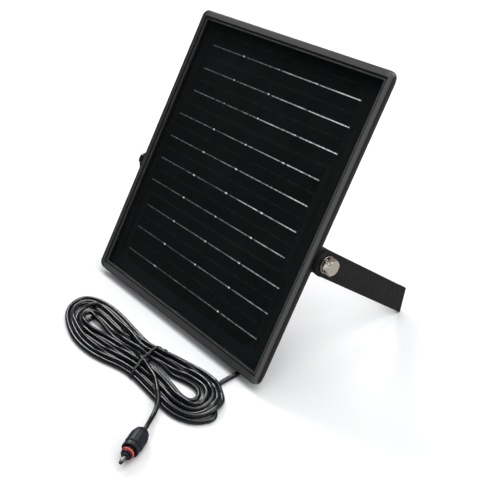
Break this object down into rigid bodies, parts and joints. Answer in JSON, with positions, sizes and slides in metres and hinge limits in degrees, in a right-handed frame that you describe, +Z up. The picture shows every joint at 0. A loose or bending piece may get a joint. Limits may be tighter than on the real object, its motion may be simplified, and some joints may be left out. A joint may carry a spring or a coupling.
{
  "type": "solar fountain pump panel",
  "caption": "Framed solar panel leaning on a tilting U-bracket, with a coiled black cable tied in the middle and a sealed plug for a fountain pump.",
  "frame": {"origin": "Middle screw hole of the bracket's foot plate, on the plate's outer face.", "axes": "+Z is up with the unit standing on level ground, +X is to the right seen from in front of the glass, and the glass faces -Y and up."},
  "size_m": [0.2078, 0.2438, 0.1878],
  "materials": {
    "frame_plastic": "fine texture",
    "shell_plastic": "fine texture",
    "black_rubber": "matt",
    "glass": "polished, tempered",
    "bedding": "clear bedding over dark backing",
    "silicon": "dark monocrystalline with anti-reflection coat",
    "tinned_copper": "tinned",
    "coated_copper": "black-coated bus strip",
    "white_film": "film",
    "silicone": "satin",
    "wire_sleeve": "gloss",
    "board": "solder mask",
    "diode_body": "moulded",
    "zinc_steel": "zinc plated",
    "gland_plastic": "satin",
    "cable_pvc": "semi-gloss",
    "brass": "turned",
    "nylon": "natural",
    "black_paint": "satin powder coat",
    "nickel_steel": "nickel plated",
    "plug_plastic": "satin",
    "red_silicone": "satin",
    "contact": "nickel plated"
  },
  "bodies": {
    "panel": {"front_frame": "frame_plastic", "rear_shell": "shell_plastic", "glass_gasket": "black_rubber", "cover_glass": "glass", "encapsulant": "bedding", "solar_cells": "silicon", "cell_ribbons": "tinned_copper", "bus_ribbons": "coated_copper", "back_sheet": "white_film", "rear_seal": "silicone", "lead_wires": "wire_sleeve", "circuit_board": "board", "blocking_diode": "diode_body", "housing_lid": "shell_plastic", "lid_gasket": "black_rubber", "lid_screws": "zinc_steel", "cable_gland": "gland_plastic", "gland_locknut": "gland_plastic", "gland_seal": "black_rubber", "panel_cable": "cable_pvc", "cable_tie": "gland_plastic", "pivot_inserts": "brass", "pivot_bushes": "nylon", "plug_body": "plug_plastic", "plug_oring": "red_silicone", "plug_barrel": "contact", "plug_tip": "gland_plastic"},
    "bracket": {"tilt_bracket": "black_paint", "flat_washers": "nickel_steel", "spring_washers": "nickel_steel"},
    "left_bolt": {"pivot_bolt_left": "nickel_steel"},
    "right_bolt": {"pivot_bolt_right": "nickel_steel"},
    "collar": {"plug_collar": "plug_plastic"}
  },
  "joints": [
    {"name": "bracket_tilt", "type": "hinge", "parent": "panel", "child": "bracket", "pos_m": [0, -0.08638, 0.06955], "axis": [1, 0, 0], "range_deg": [-78, 90]},
    {"name": "left_bolt_turn", "type": "hinge", "parent": "panel", "child": "left_bolt", "pos_m": [-0.094, -0.08638, 0.06955], "axis": [1, 0, 0], "continuous": true},
    {"name": "right_bolt_turn", "type": "hinge", "parent": "panel", "child": "right_bolt", "pos_m": [0.094, -0.08638, 0.06955], "axis": [1, 0, 0], "continuous": true},
    {"name": "collar_spin", "type": "hinge", "parent": "panel", "child": "collar", "pos_m": [0.08427, -0.2242, -0.00077], "axis": [0.4586, -0.8886, 0], "continuous": true}
  ]
}
